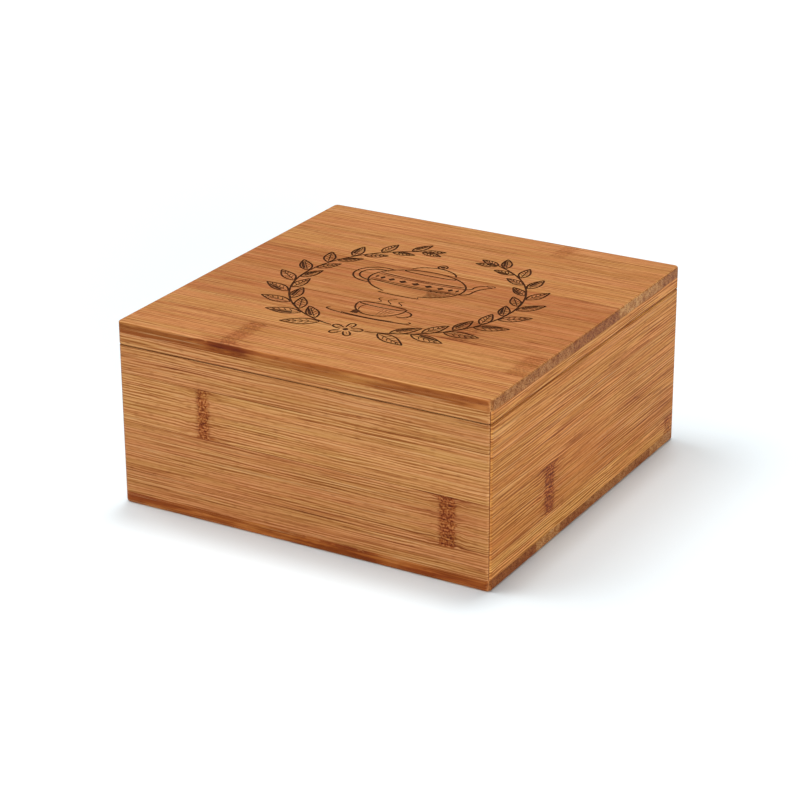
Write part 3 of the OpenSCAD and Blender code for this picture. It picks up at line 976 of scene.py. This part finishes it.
def engraved_lid(sizes, wood, char):
    """The lid board with the tea wreath burnt into its top."""
    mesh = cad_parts["lid_board"].data.copy()
    mesh.name = "engraved_lid_board"
    mesh.attributes.remove(mesh.attributes["custom_normal"])
    lid = bpy.data.objects.new("engraved_lid_board", cleaned(mesh))
    bpy.context.scene.collection.objects.link(lid)
    drawing = tea_drawing(sizes)
    for layer in in_layers(drawing.fills):
        cut_away(lid, fill_cutter(layer, LID_TOP, sizes.fill_depth))
    for layer in in_layers(drawing.strokes):
        cut_away(lid, stroke_cutter(layer, LID_TOP))
    mesh = lid.data
    mesh.materials.clear()
    mesh.materials.append(wood)
    mesh.materials.append(char)
    burnt_reach = 70 * MM
    deepest_cut = 1 * MM
    shallowest_cut = 0.01 * MM
    sharp_edge = radians(35)
    for face in mesh.polygons:
        x, y, z = face.center
        in_picture = abs(x) < burnt_reach and abs(y) < burnt_reach
        face.material_index = int(in_picture and LID_TOP - deepest_cut < z < LID_TOP - shallowest_cut)
    mesh.set_sharp_from_angle(angle=sharp_edge)
    return lid


# ---------------------------------------------------------------- operators


class TEABOX_OT_walls(bpy.types.Operator):
    """Give the mitred walls and the lid's rims their laminated bamboo"""

    bl_idname = "teabox.walls"
    bl_label = "Walls and Rims"

    def execute(self, context):
        look = context.scene.tea_box_bamboo
        # For each side: its grain, its strips, the lowest seam's height in mm, its golden share, how far its
        # fibre lines are spread, how strongly they show and its seed.
        sides = {
            "front": (GRAIN_TO_RIGHT_UPRIGHT, FRONT_STRIPS, -5.6, 0.0, 1.0, 1.1, 3.0),
            "right": (GRAIN_TO_BACK_UPRIGHT, RIGHT_STRIPS, -7.5, 0.5, 1.05, 1.4, 17.0),
            "back": (GRAIN_TO_RIGHT_UPRIGHT, BACK_STRIPS, -3.2, 0.2, 1.1, 1.1, 29.0),
            "left": (GRAIN_TO_BACK_UPRIGHT, LEFT_STRIPS, -6.4, 0.2, 1.1, 1.2, 41.0),
        }
        for side, (grain, strips, first_seam, golden, spacing, contrast, seed) in sides.items():
            wood = bamboo(
                f"carbonised bamboo, {side} strips", look, grain, strips, first_seam * MM,
                golden=golden, spacing=spacing, contrast=contrast, mitred=True, seed=seed,
            )
            give(wood, f"{side}_wall", f"lid_rim_{side}")
        return {"FINISHED"}


class TEABOX_OT_base(bpy.types.Operator):
    """Give the base board its laminated bamboo with sawn ends"""

    bl_idname = "teabox.base"
    bl_label = "Base Board"

    def execute(self, context):
        look = context.scene.tea_box_bamboo
        wood = bamboo(
            "carbonised bamboo, base board", look, GRAIN_TO_RIGHT_FLAT, BASE_STRIPS,
            first_seam=-83 * MM, edge=look.base_edge, ends=BASE_ENDS, seed=53.0,
        )
        give(wood, "base_board")
        return {"FINISHED"}


class TEABOX_OT_dividers(bpy.types.Operator):
    """Give the two halved dividers their paler bamboo"""

    bl_idname = "teabox.dividers"
    bl_label = "Dividers"

    def execute(self, context):
        look = context.scene.tea_box_bamboo
        for name, grain, seed in (
            ("long_divider", GRAIN_TO_RIGHT_UPRIGHT, 61.0),
            ("cross_divider", GRAIN_TO_BACK_UPRIGHT, 73.0),
        ):
            wood = bamboo(
                f"carbonised bamboo, {name}", look, grain, DIVIDER_STRIPS, first_seam=4.6 * MM, seed=seed
            )
            give(wood, name)
        return {"FINISHED"}


class TEABOX_OT_lid(bpy.types.Operator):
    """Engrave the tea wreath into the lid board"""

    bl_idname = "teabox.lid"
    bl_label = "Engraved Lid"

    def execute(self, context):
        look = context.scene.tea_box_bamboo
        wood = bamboo(
            "carbonised bamboo, lid board", look, GRAIN_TO_RIGHT_FLAT, LID_STRIPS,
            first_seam=-75.5 * MM, edge=look.lid_edge, ends=LID_ENDS, seed=89.0,
        )
        lid = engraved_lid(context.scene.tea_box_engraving, wood, burnt_bamboo("laser burnt bamboo", look))
        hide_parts("lid_board")
        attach(lid, "lid")
        return {"FINISHED"}


class TEABOX_OT_hinges(bpy.types.Operator):
    """Give the hinges their brass leaves, brass screws and steel pins"""

    bl_idname = "teabox.hinges"
    bl_label = "Hinges"

    def execute(self, context):
        look = context.scene.tea_box_metal
        brass = rolled_metal("brass, rolled and brushed", look.brass, look.brass_stain, "x", 0.3)
        turned = rolled_metal("brass, turned screw heads", look.brass, look.brass_stain, "y", 0.24)
        steel = rolled_metal("steel, drawn wire", look.steel, look.steel, "x", 0.22)
        give(brass, "body_leaf_left", "body_leaf_right", "lid_leaf_left", "lid_leaf_right")
        give(turned, "body_leaf_screws", "lid_leaf_screws")
        give(steel, "hinge_pin_left", "hinge_pin_right")
        return {"FINISHED"}


def distant_softbox(name, direction, spread, strength):
    """A round softbox so far off that it lights the whole floor alike; spread is its width in degrees."""
    light = bpy.data.lights.new(name, "SUN")
    light.angle = radians(spread)
    light.energy = strength
    lamp = bpy.data.objects.new(name, light)
    lamp.rotation_euler = (-Vector(direction)).to_track_quat("-Z", "Y").to_euler()
    bpy.context.scene.collection.objects.link(lamp)


def studio_camera(settings):
    """The camera, at the photograph's viewing angle."""
    azimuth, elevation = settings.azimuth, settings.elevation
    back = Vector((sin(azimuth) * cos(elevation), -cos(azimuth) * cos(elevation), sin(elevation)))
    right = Vector((cos(azimuth), sin(azimuth), 0))
    up = back.cross(right)
    axis_x = cos(settings.roll) * right + sin(settings.roll) * up
    axis_y = cos(settings.roll) * up - sin(settings.roll) * right
    middle = Vector((0, 0, 0.5 * (CAD_BOX[0].z + CAD_BOX[1].z)))
    place = middle + back * settings.distance - axis_x * settings.aside - axis_y * settings.below
    data = bpy.data.cameras.new("studio_camera")
    data.lens = settings.lens
    data.sensor_width = 36
    camera = bpy.data.objects.new("studio_camera", data)
    turn = Matrix((axis_x, axis_y, back)).transposed().to_4x4()
    camera.matrix_world = Matrix.Translation(place) @ turn
    bpy.context.scene.collection.objects.link(camera)
    bpy.context.scene.camera = camera


class TEABOX_OT_stage(bpy.types.Operator):
    """Set the pale floor, the soft studio lights and the camera"""

    bl_idname = "teabox.stage"
    bl_label = "Studio"

    def execute(self, context):
        settings = context.scene.tea_box_studio
        scene = context.scene
        scene.view_settings.view_transform = "Standard"
        mesh = bpy.data.meshes.new("floor")
        bm = bmesh.new()
        bmesh.ops.create_grid(bm, x_segments=1, y_segments=1, size=0.5 * settings.floor_size)
        bm.to_mesh(mesh)
        bm.free()
        floor = bpy.data.objects.new("floor", mesh)
        scene.collection.objects.link(floor)
        paper, tree = blank_material("seamless paper")
        place = add(tree, "TexCoord").node.outputs["Object"]
        tooth = 1.1 * MM
        grain = streaks(tree, place, tooth, tooth)
        relief = add(tree, "Bump", {"Height": grain, "Strength": 0.1, "Distance": 0.05 * MM})
        shader = add(
            tree, "BsdfPrincipled", {"Base Color": settings.floor, "Roughness": 0.8, "Normal": relief}
        )
        add(tree, "OutputMaterial", {"Surface": shader})
        mesh.materials.append(paper)

        world = bpy.data.worlds.new("studio")
        world.use_nodes = True
        background = world.node_tree.nodes["Background"].inputs
        background["Strength"].default_value = settings.sky_strength
        background["Color"].default_value = (1, 1, 1, 1)
        scene.world = world
        # Each lamp above the box: how many degrees off the vertical it stands to the left and to the back,
        # its width in degrees and its strength. The stronger top one, a little behind, draws the narrow
        # shadow along the front, and the weaker one the dark core of the shadow on the right. The two left
        # ones, one nearer the front, draw the wide rest of it, which thins towards both its ends.
        top, left = settings.top_strength, settings.left_strength
        for name, to_left, to_back, spread, strength in (
            ("top_back_softbox", 2, 13, 16, 0.75 * top),
            ("top_left_softbox", 13, 0, 16, 0.25 * top),
            ("left_front_softbox", 31, -18, 28, 0.5 * left),
            ("left_back_softbox", 31, 0, 28, 0.5 * left),
        ):
            direction = (-tan(radians(to_left)), tan(radians(to_back)), 1)
            distant_softbox(name, direction, spread, strength)
        from_front_right = (1, -1, 0.12)
        distant_softbox("front_softbox", from_front_right, 30, settings.front_strength)
        studio_camera(settings)
        return {"FINISHED"}


class TEABOX_PT_panel(bpy.types.Panel):
    """The tea box's pieces, in the order that they are dressed"""

    bl_label = "Tea Box"
    bl_idname = "TEABOX_PT_panel"
    bl_space_type = "VIEW_3D"
    bl_region_type = "UI"
    bl_category = "Tea Box"

    def draw(self, context):
        for group in GROUPS:
            box = self.layout.box()
            settings = getattr(context.scene, group)
            for name in settings.__annotations__:
                box.prop(settings, name)
        for operator in OPERATORS:
            self.layout.operator(operator.bl_idname)


GROUPS = {
    "tea_box_bamboo": BambooLook,
    "tea_box_engraving": EngravingSizes,
    "tea_box_metal": MetalLook,
    "tea_box_studio": StudioSettings,
}
OPERATORS = (
    TEABOX_OT_walls,
    TEABOX_OT_base,
    TEABOX_OT_dividers,
    TEABOX_OT_lid,
    TEABOX_OT_hinges,
    TEABOX_OT_stage,
)


def register():
    for name, group in GROUPS.items():
        bpy.utils.register_class(group)
        setattr(bpy.types.Scene, name, PointerProperty(type=group))
    for operator in OPERATORS:
        bpy.utils.register_class(operator)
    bpy.utils.register_class(TEABOX_PT_panel)


def unregister():
    bpy.utils.unregister_class(TEABOX_PT_panel)
    for operator in reversed(OPERATORS):
        bpy.utils.unregister_class(operator)
    for name, group in reversed(GROUPS.items()):
        delattr(bpy.types.Scene, name)
        bpy.utils.unregister_class(group)


def main():
    """Dresses the box."""
    register()
    bpy.ops.teabox.walls()
    bpy.ops.teabox.base()
    bpy.ops.teabox.dividers()
    bpy.ops.teabox.lid()
    bpy.ops.teabox.hinges()
    bpy.ops.teabox.stage()


if __name__ == "__main__":
    main()
